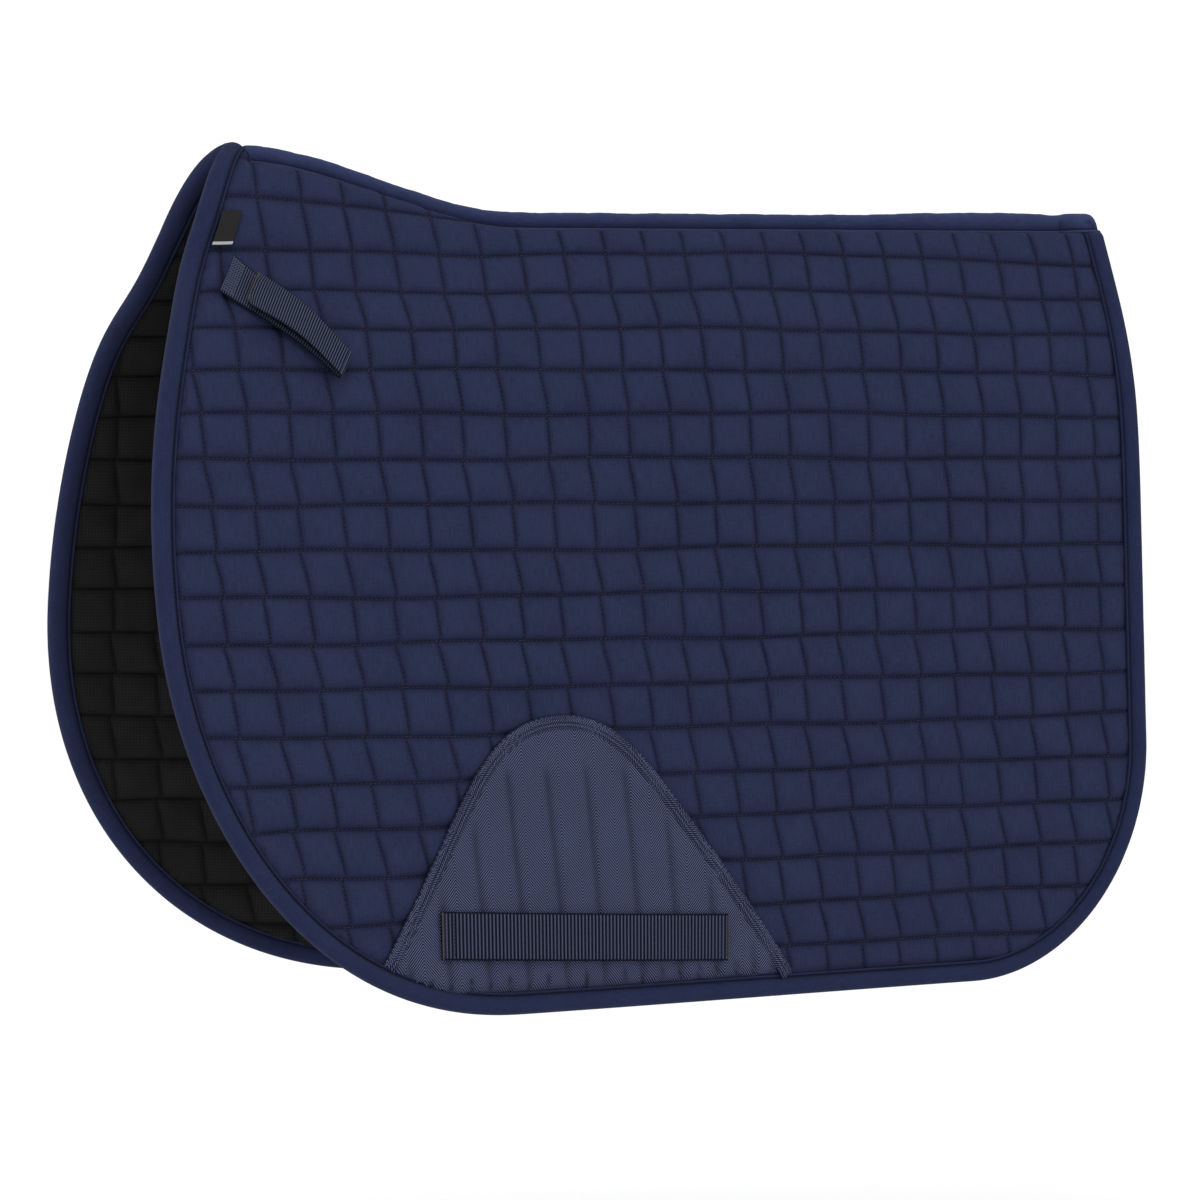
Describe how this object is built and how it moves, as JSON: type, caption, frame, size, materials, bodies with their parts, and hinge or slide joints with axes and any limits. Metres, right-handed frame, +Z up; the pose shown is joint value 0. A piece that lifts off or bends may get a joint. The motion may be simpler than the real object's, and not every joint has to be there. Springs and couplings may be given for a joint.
{
  "type": "saddle pad",
  "caption": "Quilted cloth saddle pad with a raised withers, bound edges, dark lining, girth patches with webbing keepers and front straps that open.",
  "frame": {"origin": "flat underside of the inner spine tape, 400 mm behind the withers end, where the pad rests on whatever holds it", "axes": "+X along the spine towards the rear, +Y towards the horse's right side, +Z up"},
  "size_m": [0.743, 0.339, 0.5776],
  "materials": {
    "cloth": "matte woven cotton",
    "binding": "matte woven tape",
    "lining": "matte mesh",
    "wadding": "matte fibre",
    "patch": "herringbone twill with a slight sheen",
    "webbing": "ribbed webbing with a slight sheen",
    "hook_loop": "matte pile",
    "label": "smooth woven"
  },
  "bodies": {
    "spine": {"crown_binding_front": "binding", "crown_binding_rear": "binding", "crown_cloth_left": "cloth", "crown_cloth_right": "cloth", "crown_lining_left": "lining", "crown_lining_right": "lining", "crown_wadding_left": "wadding", "crown_wadding_right": "wadding", "spine_tape_end": "binding", "spine_tape_inner": "binding", "spine_tape_outer": "binding", "woven_label_left": "label"},
    "left_flap": {"flap_binding_left": "binding", "flap_cloth_left": "cloth", "flap_lining_left": "lining", "flap_wadding_left": "wadding", "girth_keeper_left": "webbing", "girth_patch_left": "patch", "patch_edging_left": "patch", "strap_anchor_left": "webbing"},
    "right_flap": {"flap_binding_right": "binding", "flap_cloth_right": "cloth", "flap_lining_right": "lining", "flap_wadding_right": "wadding", "girth_keeper_right": "webbing", "girth_patch_right": "patch", "patch_edging_right": "patch", "strap_anchor_right": "webbing"},
    "left_strap": {"strap_hook_left": "hook_loop", "strap_lower_left": "webbing"},
    "right_strap": {"strap_hook_right": "hook_loop", "strap_lower_right": "webbing"},
    "left_strap_tab": {"strap_loop_left": "hook_loop", "strap_tab_left": "webbing"},
    "right_strap_tab": {"strap_loop_right": "hook_loop", "strap_tab_right": "webbing"}
  },
  "joints": [
    {"name": "left_fold", "type": "hinge", "parent": "spine", "child": "left_flap", "pos_m": [-0.107, -0.0407, -0.0119], "axis": [-0.9998, -0.0186, 0], "range_deg": [-4, 55]},
    {"name": "left_strap_lift", "type": "hinge", "parent": "left_flap", "child": "left_strap", "pos_m": [-0.41409, -0.06018, -0.03697], "axis": [-0.7178, -0.4119, -0.5613], "range_deg": [0, 100]},
    {"name": "left_strap_open", "type": "hinge", "parent": "left_strap", "child": "left_strap_tab", "pos_m": [-0.357, -0.09095, -0.08649], "axis": [0.7025, 0.2485, 0.6669], "range_deg": [0, 150]},
    {"name": "right_fold", "type": "hinge", "parent": "spine", "child": "right_flap", "pos_m": [-0.107, 0.0407, -0.0119], "axis": [0.9998, -0.0186, 0], "range_deg": [-4, 55]},
    {"name": "right_strap_lift", "type": "hinge", "parent": "right_flap", "child": "right_strap", "pos_m": [-0.41409, 0.06018, -0.03697], "axis": [0.7178, -0.4119, 0.5613], "range_deg": [0, 100]},
    {"name": "right_strap_open", "type": "hinge", "parent": "right_strap", "child": "right_strap_tab", "pos_m": [-0.357, 0.09095, -0.08649], "axis": [-0.7025, 0.2485, -0.6669], "range_deg": [0, 150]}
  ]
}
